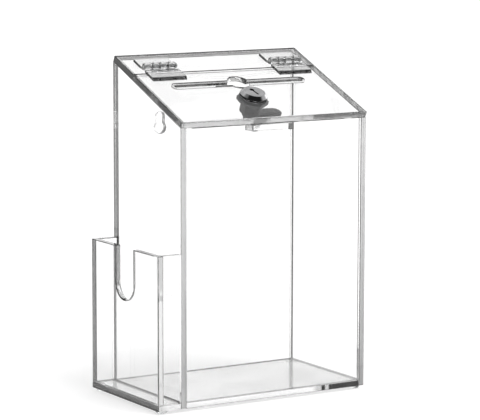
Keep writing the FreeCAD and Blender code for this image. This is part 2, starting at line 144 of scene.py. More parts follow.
# ---- hinge sizes, from the middle of the pin --------------------------------------------------
HINGE_OFFSET = 63.0              # either side of the lock
HINGE_HALF_WIDTH = 16.5
KNUCKLE_RADIUS = 3.4
KNUCKLE_ROUNDING = 1.5
KNUCKLE_LONG = 8.0
KNUCKLE_SHORT = 6.7
KNUCKLE_GAP = 0.3
PIN_RADIUS = 1.4
PIN_HEAD_RADIUS = 2.5
PIN_HEAD_LENGTH = 2.4
LEAF_UNDER = -3.77               # w of the leaf's underside, a hair above the sheet
LEAF_TOP = -1.4
LEAF_REAR_END = 17.5
LEAF_FRONT_END = -20.0
LEAF_HEEL = 3.8                  # plate's edge nearest the knuckles
LEAF_BEVEL = 2.0
LEAF_RELIEF = 0.4
LID_END = -6.3                   # end of the lid sheet under the front leaf

# ---- feet -------------------------------------------------------------------------------------
FOOT_PROFILE = ((0, 0.0), (2.6, 0.0), (3.3, 0.06), (4.2, 0.42), (4.75, 0.95), (4.97, 1.5), (5.0, 2.5),
                (4.9, 2.72), (0, 2.76))


# ---- material helpers -------------------------------------------------------------------------
def new_material(name):
    material = bpy.data.materials.new(name)
    material.use_nodes = True
    return material, material.node_tree.nodes, material.node_tree.links


def math_node(nodes, links, operation, *values):
    """A Math node fed by numbers or by other nodes' outputs. Returns its output."""
    node = nodes.new("ShaderNodeMath")
    node.operation = operation
    for socket, value in zip(node.inputs, values):
        if isinstance(value, (int, float)):
            socket.default_value = value
        else:
            links.new(value, socket)
    return node.outputs[0]


def smooth_step(nodes, links, value, low, high, to_low=0.0, to_high=1.0):
    """A Map Range node with a smooth ramp between low and high."""
    node = nodes.new("ShaderNodeMapRange")
    node.interpolation_type = "SMOOTHSTEP"
    node.inputs["From Min"].default_value = low
    node.inputs["From Max"].default_value = high
    node.inputs["To Min"].default_value = to_low
    node.inputs["To Max"].default_value = to_high
    links.new(value, node.inputs["Value"])
    return node.outputs[0]


def dot_node(nodes, links, vector, direction):
    node = nodes.new("ShaderNodeVectorMath")
    node.operation = "DOT_PRODUCT"
    links.new(vector, node.inputs[0])
    node.inputs[1].default_value = direction
    return node.outputs["Value"]


def scaled(nodes, links, vector, scale):
    """The vector with each part multiplied by its own scale."""
    node = nodes.new("ShaderNodeMapping")
    node.inputs["Scale"].default_value = scale
    links.new(vector, node.inputs["Vector"])
    return node.outputs["Vector"]


def noise(nodes, links, vector, scale, detail=3.0, roughness=0.55):
    node = nodes.new("ShaderNodeTexNoise")
    node.inputs["Scale"].default_value = scale
    node.inputs["Detail"].default_value = detail
    node.inputs["Roughness"].default_value = roughness
    links.new(vector, node.inputs["Vector"])
    return node.outputs["Fac"]


def mix_colour(nodes, links, factor, low, high):
    """A colour between low and high. Either one may be a colour or another node's output."""
    node = nodes.new("ShaderNodeMix")
    node.data_type = "RGBA"
    links.new(factor, node.inputs["Factor"])
    for socket, colour in (("A", low), ("B", high)):
        if isinstance(colour, tuple):
            node.inputs[socket].default_value = (*colour, 1)
        else:
            links.new(colour, node.inputs[socket])
    return node.outputs["Result"]


def add_bump(nodes, links, shader, height, strength, distance_mm):
    node = nodes.new("ShaderNodeBump")
    node.inputs["Strength"].default_value = strength
    node.inputs["Distance"].default_value = distance_mm * MM
    links.new(height, node.inputs["Height"])
    links.new(node.outputs["Normal"], shader.inputs["Normal"])


def grey(value):
    return (value, value, value)


# ---- materials --------------------------------------------------------------------------------
def inside_zone(nodes, links, place, zone):
    """1 between two distances in millimetres along a direction, and 0 outside them."""
    direction, start, end = zone
    along = dot_node(nodes, links, place, direction)
    after = smooth_step(nodes, links, along, (start - 0.5) * MM, (start + 0.5) * MM)
    before = smooth_step(nodes, links, along, (end + 0.5) * MM, (end - 0.5) * MM)
    return math_node(nodes, links, "MULTIPLY", after, before)


def clear_acrylic(name, face_normal, ramp, stretch, clarity_and_shade, edges, frosted, scuffing):
    """Clear sheet whose cut edges pass less light than its faces, because their colour holds painted shade
    and painted light.

    Each edge is (direction, tone at the ramp's end, tone at its start, zones that limit it). The tones are
    painted shade and light, and the ramp fades one tone into the other.
    """
    material, nodes, links = new_material(name)
    shader = nodes["Principled BSDF"]
    shader.inputs["Transmission Weight"].default_value = 1.0
    shader.inputs["IOR"].default_value = ACRYLIC_IOR
    coordinates = nodes.new("ShaderNodeTexCoord")
    normal = coordinates.outputs["Normal"]
    place = coordinates.outputs["Object"]
    haze = noise(nodes, links, place, 22.0)
    far = smooth_step(nodes, links, dot_node(nodes, links, place, ramp[0]), ramp[1] * MM, ramp[2] * MM)
    blend = math_node(nodes, links, "MULTIPLY_ADD", haze, 0.3, math_node(nodes, links, "MULTIPLY", far, 0.8))
    # faces take the sheet's clarity; on the base plate the low clarity is painted shade
    colour = tuple(value * clarity_and_shade for value in FACE_TINT)
    # each cut edge's colour is painted shade and light: a grey tone per side, fading along the ramp and
    # varied by the haze
    for direction, end_tone, start_tone, *zones in edges:
        facing = smooth_step(nodes, links, dot_node(nodes, links, normal, direction), 0.9, 0.97)
        for zone in zones:
            facing = math_node(nodes, links, "MULTIPLY", facing, inside_zone(nodes, links, place, zone))
        tone = mix_colour(nodes, links, blend, grey(start_tone), grey(end_tone))
        colour = mix_colour(nodes, links, facing, colour, tone)
    links.new(colour, shader.inputs["Base Color"])
    if frosted:
        direction, zone = frosted
        cut = smooth_step(nodes, links, dot_node(nodes, links, normal, direction), 0.9, 0.97, 0.0, FROST)
        cut = math_node(nodes, links, "MULTIPLY", cut, inside_zone(nodes, links, place, zone))
        links.new(math_node(nodes, links, "SUBTRACT", 1.0, cut), shader.inputs["Transmission Weight"])
    broad = math_node(nodes, links, "ABSOLUTE", dot_node(nodes, links, normal, face_normal))
    edge = smooth_step(nodes, links, broad, 0.97, 0.9)
    streaks = noise(nodes, links, scaled(nodes, links, place, stretch), 1.0, 2.0)
    saw_marks = smooth_step(nodes, links, streaks, 0.3, 0.7, 0.02, 0.07)
    rough = math_node(nodes, links, "MULTIPLY", edge, saw_marks)
    scuffs = math_node(nodes, links, "MULTIPLY", haze, scuffing)
    links.new(math_node(nodes, links, "MAXIMUM", rough, scuffs), shader.inputs["Roughness"])
    height = math_node(nodes, links, "MULTIPLY", edge, streaks)
    add_bump(nodes, links, shader, height, 0.08, 0.1)
    return material


def arris_material(name, painted_pale_zones):
    """The rounded corner line along a sheet's edges, which turns light aside. Its colour is painted: dark
    painted shade with paler patches, and painted light in the pale zones.
    """
    material, nodes, links = new_material(name)
    shader = nodes["Principled BSDF"]
    shader.inputs["Transmission Weight"].default_value = 1.0
    shader.inputs["IOR"].default_value = ACRYLIC_IOR
    place = nodes.new("ShaderNodeTexCoord").outputs["Object"]
    patches = noise(nodes, links, place, 90.0, 4.0)
    tone = smooth_step(nodes, links, patches, 0.55, 0.75)
    # dark painted shade along the edge line, with paler painted patches
    colour = mix_colour(nodes, links, tone, ARRIS_PAINTED_SHADE, grey(0.35))
    # the pale zones are painted light
    for zone in painted_pale_zones:
        colour = mix_colour(nodes, links, inside_zone(nodes, links, place, zone), colour, grey(0.7))
    links.new(colour, shader.inputs["Base Color"])
    links.new(smooth_step(nodes, links, patches, 0.3, 0.7, 0.03, 0.12), shader.inputs["Roughness"])
    add_bump(nodes, links, shader, noise(nodes, links, place, 700.0), 0.1, 0.1)
    return material


def clear_moulding(name, tint, ior, ripple_scale, ripple, rough_low, rough_high):
    """Moulded clear plastic or rubber with a faintly rippled skin."""
    material, nodes, links = new_material(name)
    shader = nodes["Principled BSDF"]
    shader.inputs["Transmission Weight"].default_value = 1.0
    shader.inputs["IOR"].default_value = ior
    place = nodes.new("ShaderNodeTexCoord").outputs["Object"]
    patches = noise(nodes, links, place, ripple_scale)
    dark = tuple(value * 0.9 for value in tint)
    links.new(mix_colour(nodes, links, patches, dark, tint), shader.inputs["Base Color"])
    links.new(smooth_step(nodes, links, patches, 0.3, 0.7, rough_low, rough_high), shader.inputs["Roughness"])
    add_bump(nodes, links, shader, patches, ripple, 0.3)
    return material


def leaf_plastic():
    """Moulded clear hinge leaves: clear at the rear, mottled grey over the pin, and on the front leaf painted
    shade that greys away from the pin and is darkest above the front bevel; the leaves' ends are painted dark
    as shade.
    """
    material, nodes, links = new_material("clear_plastic_leaf")
    shader = nodes["Principled BSDF"]
    shader.inputs["Transmission Weight"].default_value = 1.0
    shader.inputs["IOR"].default_value = MOULDED_IOR
    coordinates = nodes.new("ShaderNodeTexCoord")
    place = coordinates.outputs["Object"]
    along = dot_node(nodes, links, place, UPHILL)
    pin = UP_SLOPE.dot(HINGE_POINT)
    streaks = noise(nodes, links, scaled(nodes, links, place, (40, 900, 900)), 1.0, 2.0)
    wander = math_node(nodes, links, "MULTIPLY", streaks, 1.6 * MM)
    along = math_node(nodes, links, "ADD", along, wander)
    blotches = noise(nodes, links, place, 420.0, 3.0)
    mottle = smooth_step(nodes, links, blotches, 0.40, 0.60)
    knuckle = mix_colour(nodes, links, mottle, grey(0.50), grey(0.95))
    rear = smooth_step(nodes, links, along, pin + 3.4 * MM, pin + 4.4 * MM)
    colour = mix_colour(nodes, links, rear, knuckle, grey(0.96))
    # front plate: painted shade, greying away from the pin, a dark band above the bevel and a grey bevel
    ramp = smooth_step(nodes, links, along, pin - 12 * MM, pin - 5 * MM)
    plate = mix_colour(nodes, links, ramp, grey(0.70), grey(1.0))
    band = smooth_step(nodes, links, along, pin - 16.6 * MM, pin - 15.4 * MM)
    plate = mix_colour(nodes, links, band, grey(0.02), plate)
    tip = smooth_step(nodes, links, along, pin - 18.4 * MM, pin - 19.2 * MM)
    plate = mix_colour(nodes, links, tip, plate, grey(0.55))
    before = smooth_step(nodes, links, along, pin - 3.0 * MM, pin - 4.0 * MM)
    colour = mix_colour(nodes, links, before, colour, plate)
    # the leaves' ends are painted dark as shade
    across = math_node(nodes, links, "ABSOLUTE", dot_node(nodes, links, coordinates.outputs["Normal"], RIGHT))
    colour = mix_colour(nodes, links, smooth_step(nodes, links, across, 0.9, 0.98), colour, grey(0.012))
    links.new(colour, shader.inputs["Base Color"])
    links.new(smooth_step(nodes, links, streaks, 0.3, 0.7, 0.03, 0.12), shader.inputs["Roughness"])
    add_bump(nodes, links, shader, streaks, 0.12, 0.1)
    return material


def metal(name, light, dark, rough_low, rough_high, grain_scale, grain_bump):
    """Plated metal: tone, gloss and height vary with a fine grain and with broader cloudy patches."""
    material, nodes, links = new_material(name)
    shader = nodes["Principled BSDF"]
    shader.inputs["Metallic"].default_value = 1.0
    place = nodes.new("ShaderNodeTexCoord").outputs["Object"]
    grain = noise(nodes, links, place, grain_scale, 4.0, 0.6)
    clouds = noise(nodes, links, place, grain_scale / 12.0, 2.0)
    half_clouds = math_node(nodes, links, "MULTIPLY", clouds, 0.5)
    both = math_node(nodes, links, "MULTIPLY_ADD", grain, 0.5, half_clouds)
    tone = smooth_step(nodes, links, both, 0.35, 0.65)
    links.new(mix_colour(nodes, links, tone, dark, light), shader.inputs["Base Color"])
    links.new(smooth_step(nodes, links, both, 0.35, 0.65, rough_low, rough_high), shader.inputs["Roughness"])
    add_bump(nodes, links, shader, grain, grain_bump, 0.05)
    return material


# ---- mesh helpers -----------------------------------------------------------------------------
def placed(point, x=0.0):
    """Local millimetres on the slope, from a point of the frame moved across by x."""
    return Matrix.Translation(point + Vector((x * MM, 0, 0))) @ SLOPE_TURN @ Matrix.Scale(MM, 4)


def add_ring_grid(bm, rings, closed_profile=True):
    """Join rings of vertices, and close or cap the profile. Rings on the axis have one vertex."""
    pairs = list(zip(rings, rings[1:]))
    if closed_profile:
        pairs.append((rings[-1], rings[0]))
    for low, high in pairs:
        count = max(len(low), len(high))
        if count == 1:
            continue
        for i in range(count):
            j = (i + 1) % count
            corners = [low[i % len(low)], low[j % len(low)], high[j % len(high)], high[i % len(high)]]
            unique = list(dict.fromkeys(corners))
            if len(unique) > 2:
                bm.faces.new(unique)


def lathe(bm, profile, segments, reshape=None, closed=False):
    """Turn (radius, w) points about the w axis. reshape may move each point by its angle."""
    rings = []
    for radius, w in profile:
        if radius == 0:
            rings.append([bm.verts.new((0, 0, w))])
            continue
        ring = []
        for i in range(segments):
            angle = 2 * math.pi * i / segments
            spot = (radius, w) if reshape is None else reshape(radius, w, angle)
            if len(spot) == 2:
                spot = (spot[0] * math.cos(angle), spot[0] * math.sin(angle), spot[1])
            ring.append(bm.verts.new(spot))
        rings.append(ring)
    add_ring_grid(bm, rings, closed)


def outline_plate(bm, outlines, w0, w1, rounding):
    """A flat plate from closed (x, s) outlines, holes included, with rounded edges."""
    curve = bpy.data.curves.new("outline", "CURVE")
    curve.dimensions = "2D"
    curve.fill_mode = "BOTH"
    curve.bevel_depth = rounding
    curve.bevel_resolution = 2
    curve.offset = -rounding
    curve.extrude = (w1 - w0) / 2 - rounding
    for points in outlines:
        spline = curve.splines.new("POLY")
        spline.points.add(len(points) - 1)
        for point, (x, s) in zip(spline.points, points):
            point.co = (x, s, 0, 1)
        spline.use_cyclic_u = True
    holder = bpy.data.objects.new("outline", curve)
    bpy.context.scene.collection.objects.link(holder)
    bpy.context.view_layer.update()
    mesh = bpy.data.meshes.new_from_object(holder.evaluated_get(bpy.context.evaluated_depsgraph_get()))
    mesh.transform(Matrix.Translation((0, 0, (w0 + w1) / 2)))
    bm.from_mesh(mesh)
    bpy.data.objects.remove(holder)
    bpy.data.meshes.remove(mesh)


def prism(bm, outline, x0, x1):
    """A closed (s, w) outline, extruded along x."""
    ends = [[bm.verts.new((x, s, w)) for s, w in outline] for x in (x0, x1)]
    count = len(outline)
    for i in range(count):
        j = (i + 1) % count
        bm.faces.new((ends[0][i], ends[0][j], ends[1][j], ends[1][i]))
    bm.faces.new(ends[0][::-1])
    bm.faces.new(ends[1])


def circle(radius, count, x=0.0, s=0.0, start=0.0, sweep=360.0):
    whole = sweep == 360.0
    steps = count if whole else count - 1
    angles = [math.radians(start + sweep * i / steps) for i in range(count)]
    return [(x + radius * math.cos(a), s + radius * math.sin(a)) for a in angles]


def turned_outline(points, degrees):
    a = math.radians(degrees)
    return [(x * math.cos(a) - s * math.sin(a), x * math.sin(a) + s * math.cos(a)) for x, s in points]


def to_mesh_object(bm, name, place):
    """A linked object from a bmesh drawn in local millimetres."""
    bmesh.ops.remove_doubles(bm, verts=bm.verts, dist=0.002)
    bmesh.ops.transform(bm, matrix=place, verts=bm.verts)
    bmesh.ops.recalc_face_normals(bm, faces=bm.faces)
    mesh = bpy.data.meshes.new(name)
    bm.to_mesh(mesh)
    bm.free()
    obj = bpy.data.objects.new(name, mesh)
    bpy.context.scene.collection.objects.link(obj)
    return obj


def finish_piece(obj, material, body, replaced, smooth_deg=35):
    obj.data.materials.clear()
    obj.data.materials.append(material)
    obj.data.shade_smooth()
    obj.data.set_sharp_from_angle(angle=math.radians(smooth_deg))
    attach(obj, body)
    if replaced:
        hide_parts(replaced)


def combined(target, tools, operation):
    """The target with each tool joined to it or cut from it. The tools are used up."""
    for tool in tools:
        modifier = target.modifiers.new("combine", "BOOLEAN")
        modifier.operation = operation
        modifier.solver = "EXACT"
        modifier.object = tool
    bpy.context.view_layer.update()
    graph = bpy.context.evaluated_depsgraph_get()
    mesh = bpy.data.meshes.new_from_object(target.evaluated_get(graph))
    target.modifiers.clear()
    target.data = mesh
    for tool in tools:
        bpy.data.objects.remove(tool)
    return target


def soften(obj, gap, rounding):
    """Modifiers that close the mesh, draw it in by a hair and round its edges."""
    weld = obj.modifiers.new("weld", "WELD")
    weld.merge_threshold = 0.001 * MM
    draw_in = obj.modifiers.new("draw_in", "DISPLACE")
    draw_in.direction = "NORMAL"
    draw_in.mid_level = 0.0
    draw_in.strength = -gap * MM
    round_off = obj.modifiers.new("round_off", "BEVEL")
    round_off.width = rounding * MM
    round_off.segments = 2
    round_off.limit_method = "ANGLE"
    round_off.angle_limit = math.radians(40)
    round_off.harden_normals = True
    round_off.material = 1


# ---- sheets -----------------------------------------------------------------------------------
LOCK_TO_FRONT = 40.0
LID_FRONT = UP_SLOPE.dot(LOCK_POINT) / MM - LOCK_TO_FRONT    # the lid's front edge, along UPHILL
ALONG_FRONT = (UPHILL, LID_FRONT - 5, LID_FRONT + 20)
BY_SEAM = (UPHILL, LID_FRONT + 86, LID_FRONT + 140)
TALL = (UP, 0, 250)
WIDE = (RIGHT, -100, 100)
SIDE_MARKS, CROSS_MARKS, FLAT_MARKS = (900, 12, 12), (12, 900, 12), (12, 12, 900)
NOTCH_ZONE = (BACK, -20, 20)
AT_FRONT = (FRONT, 50, 60)
BOX_SIDE = (LEFT, 79, 82)
SEAM_LINE = (UPHILL, LID_FRONT + 87.8, LID_FRONT + 89.6)
LID_SKIN_HEIGHT = OUT_OF_SLOPE.dot(LOCK_POINT) / MM + LID_TOP
TOP_SKIN = (OUT, LID_SKIN_HEIGHT - 1.0, LID_SKIN_HEIGHT + 1.0)
LOW_HALF = (UP, 0, 4.9)
UPPER = (UP, 133, 300)

# Each sheet: face direction, ramp, saw marks, edge rounding, clarity, and its cut edges as
# clear_acrylic takes them. The edge tones are painted shade and light. The thin zones paint glue
# lines onto the sheets, and painted shade along a seam and at dark ends.
SHEETS = {
    "left_panel": (LEFT, TALL, SIDE_MARKS, 0.25, 1.0, [
        (FRONT, 0.68, 0.44), (BACK, 0.78, 0.50), (OUT, 0.6, 0.5), (DOWN, 0.6, 0.5),
        (LEFT, 0.0, 0.0, (UP, 6.8, 9.2), BOX_SIDE),
        (LEFT, 0.0, 0.0, (BACK, 51.8, 54.4), (UP, 7.4, 132.8), BOX_SIDE)]),
    "right_panel": (LEFT, TALL, SIDE_MARKS, 0.45, 1.0, [
        (FRONT, 0.74, 0.42), (BACK, 0.80, 0.40), (OUT, 0.6, 0.5), (DOWN, 0.6, 0.5),
        (LEFT, 0.0, 0.0, (BACK, 51.2, 53.8), (RIGHT, 96.5, 98.5)),
        (LEFT, 0.25, 0.25, (UP, 6.8, 8.4))]),
    "front_panel": (FRONT, TALL, CROSS_MARKS, 0.5, 1.0, [(LEFT, 0.8, 0.8), (RIGHT, 0.8, 0.8)]),
    "back_panel": (FRONT, TALL, CROSS_MARKS, 0.8, 1.0, [
        (OUT, 0.12, 0.12), (LEFT, 0.03, 0.02, (LEFT, 74, 76), UPPER), (RIGHT, 0.7, 0.7, (RIGHT, 96, 98))]),
    "pocket_outer_wall": (LEFT, TALL, SIDE_MARKS, 0.8, 0.93, [
        (FRONT, 0.90, 0.85), (BACK, 0.90, 0.85), (UP, 0.35, 0.35, (UP, 125, 140)),
        # dark painted shade along the notch's edges and in a line beside the notch
        (FRONT, 0.12, 0.12, NOTCH_ZONE), (BACK, 0.10, 0.10, NOTCH_ZONE),
        (LEFT, 0.01, 0.01, (BACK, -17.0, -15.0), (UP, 100, 133), (LEFT, 101.5, 103.5))]),
    "pocket_front_wall": (FRONT, TALL, CROSS_MARKS, 0.3, 0.95, [
        (LEFT, 0.8, 0.8), (RIGHT, 0.8, 0.8), (UP, 0.35, 0.35)]),
    "pocket_back_wall": (FRONT, TALL, CROSS_MARKS, 0.5, 1.0, [
        (LEFT, 0.10, 0.08), (RIGHT, 0.10, 0.08), (UP, 0.35, 0.35)]),
    # base plate: its low clarity is painted shade
    "base_plate": (UP, WIDE, FLAT_MARKS, 0.4, 0.76, [
        # a dark block with a pale gap on the front edge, towards the right: painted reflection
        (FRONT, 0.95, 0.95), (FRONT, 0.002, 0.001, (RIGHT, 58.5, 110), AT_FRONT),
        (FRONT, 0.95, 0.95, (RIGHT, 62.5, 66), AT_FRONT), (BACK, 0.7, 0.7), (LEFT, 0.7, 0.7),
        (RIGHT, 0.6, 0.6)]),
    "pocket_base": (UP, WIDE, FLAT_MARKS, 0.4, 1.0, [
        # the left edge's lower half is painted black as shade
        (FRONT, 0.92, 0.92), (LEFT, 0.97, 0.97), (LEFT, 0.0, 0.0, LOW_HALF), (BACK, 0.8, 0.8),
        (RIGHT, 0.8, 0.8)]),
    "catch_block": (UP, WIDE, FLAT_MARKS, 0.6, 1.0, [
        # dark painted shade on the right part of the block's front end
        (LEFT, 0.6, 0.6), (FRONT, 0.01, 0.01, (RIGHT, 25.5, 40), (FRONT, 50, 53))]),
    "hinged_lid": (OUT, WIDE, FLAT_MARKS, 0.6, 1.0, [
        (DOWN_SLOPE, 0.54, 0.54, ALONG_FRONT), (DOWN_SLOPE, 0.28, 0.18, ALONG_FRONT, (RIGHT, 48, 110)),
        (UPHILL, 0.95, 0.95, BY_SEAM), (LEFT, 0.02, 0.01, (LEFT, 80, 81)),
        (RIGHT, 0.9, 0.9, (RIGHT, 102, 103))]),
    "fixed_top_strip": (OUT, WIDE, FLAT_MARKS, 0.8, 1.0, [
        # a dark line painted on the top face at the seam with the lid: painted shade
        (DOWN_SLOPE, 0.95, 0.95), (OUT, 0.0, 0.0, SEAM_LINE, TOP_SKIN), (UPHILL, 0.04, 0.03),
        (LEFT, 0.02, 0.01), (RIGHT, 0.9, 0.9)]),
}


def dress_sheets():
    plain = arris_material("acrylic_arris", [])
    # zones where a sheet's edge line is painted pale, as painted light
    painted_pale_ends = {"hinged_lid": [ALONG_FRONT], "left_panel": [AT_FRONT], "pocket_front_wall": [TALL],
                 "front_panel": [(LEFT, 70, 80), (UP, 4.2, 12)], "pocket_outer_wall": [AT_FRONT],
                 "base_plate": [(UP, 4.2, 12)], "back_panel": [(BACK, 56.5, 60)]}
    frosted_ends = {"hinged_lid": (DOWN_SLOPE, ALONG_FRONT), "left_panel": (FRONT, AT_FRONT),
                    "right_panel": (FRONT, AT_FRONT), "pocket_outer_wall": (FRONT, AT_FRONT)}
    for name, (face_normal, ramp, stretch, rounding, clarity_and_shade, edges) in SHEETS.items():
        sheet = NODES[name]
        sheet.data.materials.clear()
        frosted = frosted_ends.get(name)
        acrylic = clear_acrylic("acrylic_" + name, face_normal, ramp, stretch, clarity_and_shade, edges, frosted,
                                SCUFFING if face_normal == UP else 0.0)
        sheet.data.materials.append(acrylic)
        arris = arris_material("acrylic_arris_" + name, painted_pale_ends[name]) if name in painted_pale_ends else plain
        sheet.data.materials.append(arris)
        soften(sheet, JOINT_GAP, rounding)


# ---- lock -------------------------------------------------------------------------------------
def keyway_outline(turn):
    rise = math.sqrt(KEYWAY_LOBE_RADIUS ** 2 - KEYWAY_HALF_WIDTH ** 2)
    lobe_s = KEYWAY_HALF_LENGTH - KEYWAY_LOBE_RADIUS
    start = math.degrees(math.atan2(-rise, KEYWAY_HALF_WIDTH))
    lobe = circle(KEYWAY_LOBE_RADIUS, 15, 0, lobe_s, start, 180 - 2 * start)
    foot = [(-KEYWAY_HALF_WIDTH, -KEYWAY_HALF_LENGTH), (KEYWAY_HALF_WIDTH, -KEYWAY_HALF_LENGTH)]
    return turned_outline(foot + lobe, turn)


def lock_housing(chrome, zinc, dark):
    """The polished head, its rim given the dark keyway steel as a painted dark reflection, and under it the
    threaded barrel with its two flats.
    """
    bore = PLUG_RADIUS + 0.1
    seat = FLANGE_RADIUS + 0.1
    head = [(bore, FLANGE_UNDER - 0.05), (seat, FLANGE_UNDER - 0.05), (seat, LOCK_FACE - 0.08),
            (seat + 0.08, LOCK_FACE), (FACE_RADIUS - 0.15, LOCK_FACE), (FACE_RADIUS + 0.06, LOCK_FACE - 0.07),
            (FACE_RADIUS + 0.16, LOCK_FACE - 0.18), (HEAD_RADIUS - 0.2, LID_TOP + RIM_HEIGHT + 0.23),
            (HEAD_RADIUS - 0.1, LID_TOP + RIM_HEIGHT + 0.12), (HEAD_RADIUS, LID_TOP + RIM_HEIGHT - 0.08),
            (HEAD_RADIUS, LID_TOP + 0.2), (HEAD_RADIUS - 0.15, LID_TOP + 0.03), (bore, LID_TOP + 0.03)]
    bm = bmesh.new()
    lathe(bm, head, 96, closed=True)
    # the rim faces take the dark steel: a painted dark reflection on the chrome
    for face in bm.faces:
        if face.calc_center_median().z < LID_TOP + RIM_HEIGHT + 0.1:
            face.material_index = 1
    obj = to_mesh_object(bm, "lock_head", placed(LOCK_POINT))
    rim = [polygon.index for polygon in obj.data.polygons if polygon.material_index == 1]
    finish_piece(obj, chrome, "lid", "lock_housing")
    obj.data.materials.append(dark)
    for index in rim:
        obj.data.polygons[index].material_index = 1
    span = THREAD_TOP - LOCK_END - 0.5
    steps = int(span / THREAD_PITCH * 6)
    barrel = [(bore, LID_TOP), (BODY_RADIUS, LID_TOP)]
    barrel += [(BODY_RADIUS, THREAD_TOP - span * i / steps) for i in range(steps + 1)]
    barrel += [(BODY_RADIUS - 0.5, LOCK_END), (bore, LOCK_END)]

    def reshape(radius, w, angle):
        if radius == BODY_RADIUS and w < THREAD_TOP - 0.2:
            turn = (w / THREAD_PITCH + angle / (2 * math.pi)) % 1.0
            radius -= THREAD_DEPTH * abs(2 * turn - 1)
        x, s = radius * math.cos(angle), radius * math.sin(angle)
        if radius > bore:
            x = max(-BODY_HALF_FLATS, min(BODY_HALF_FLATS, x))
        return x, s, w

    bm = bmesh.new()
    lathe(bm, barrel, 96, reshape, closed=True)
    obj = to_mesh_object(bm, "lock_threaded_barrel", placed(LOCK_POINT))
    finish_piece(obj, zinc, "lid", "")


def lock_plug(chrome, dark):
    """The plug's bright face, and under it the dark barrel that the key enters."""
    bm = bmesh.new()
    key = keyway_outline(KEYWAY_TURN_DEG)
    outline_plate(bm, [circle(FLANGE_RADIUS, 72), key], LOCK_FACE - 0.45, LOCK_FACE - 0.03, 0.1)
    obj = to_mesh_object(bm, "plug_face", placed(LOCK_POINT))
    finish_piece(obj, chrome, "lock_barrel", "lock_plug")
    bm = bmesh.new()
    outline_plate(bm, [circle(FLANGE_RADIUS - 0.05, 72), key], FLANGE_UNDER, LOCK_FACE - 0.47, 0.05)
    outline_plate(bm, [circle(PLUG_RADIUS - 0.05, 48), key], KEYWAY_FLOOR, FLANGE_UNDER - 0.01, 0.05)
    lathe(bm, [(0, KEYWAY_FLOOR - 0.02), (PLUG_RADIUS - 0.2, KEYWAY_FLOOR - 0.02),
               (PLUG_RADIUS - 0.05, KEYWAY_FLOOR - 0.2),
               (PLUG_RADIUS - 0.05, LOCK_END + 0.2), (PLUG_RADIUS - 0.3, LOCK_END), (0, LOCK_END)], 48)
    side = SHANK_HALF_SIDE
    square = [(-side, -side), (side, -side), (side, side), (-side, side)]
    outline_plate(bm, [square], CAM_UNDER, LOCK_END + 0.5, 0.15)
    obj = to_mesh_object(bm, "plug_barrel", placed(LOCK_POINT))
    finish_piece(obj, dark, "lock_barrel", "")


def lock_wafers(brass):
    bm = bmesh.new()
    half_x, half_s, rim = WAFER_HALF_WIDTH, WAFER_HALF_LENGTH, WAFER_RIM
    plate = [(-half_x, -half_s), (half_x, -half_s), (half_x, half_s), (-half_x, half_s)]
    window = [(-KEYWAY_HALF_WIDTH, -half_s + rim), (KEYWAY_HALF_WIDTH, -half_s + rim),
              (KEYWAY_HALF_WIDTH, half_s - rim), (-KEYWAY_HALF_WIDTH, half_s - rim)]
    outlines = [turned_outline(plate, KEYWAY_TURN_DEG), turned_outline(window, KEYWAY_TURN_DEG)]
    for i in range(WAFER_COUNT):
        top = WAFER_TOP - WAFER_PITCH * i
        outline_plate(bm, outlines, top - WAFER_THICKNESS, top, 0.08)
    obj = to_mesh_object(bm, "tumblers", placed(LOCK_POINT))
    finish_piece(obj, brass, "lock_barrel", "lock_wafers")


def hexagon_stack(bm, half_flats, bore, top, under):
    """A hexagonal nut or bolt head whose corners are turned off at the bottom."""
    circle_radius = half_flats * 0.97

    def reshape(radius, w, angle):
        if radius > circle_radius:
            within = (angle + math.pi / 6) % (math.pi / 3) - math.pi / 6
            radius = half_flats / math.cos(within)
            drop = (radius - circle_radius) * 0.55
            if w < (top + under) / 2:
                w += drop
        return radius, w

    lathe(bm, [(bore, top), (circle_radius, top), (half_flats, top), (half_flats, under),
               (circle_radius, under), (bore, under)], 96, reshape, closed=bore > 0)


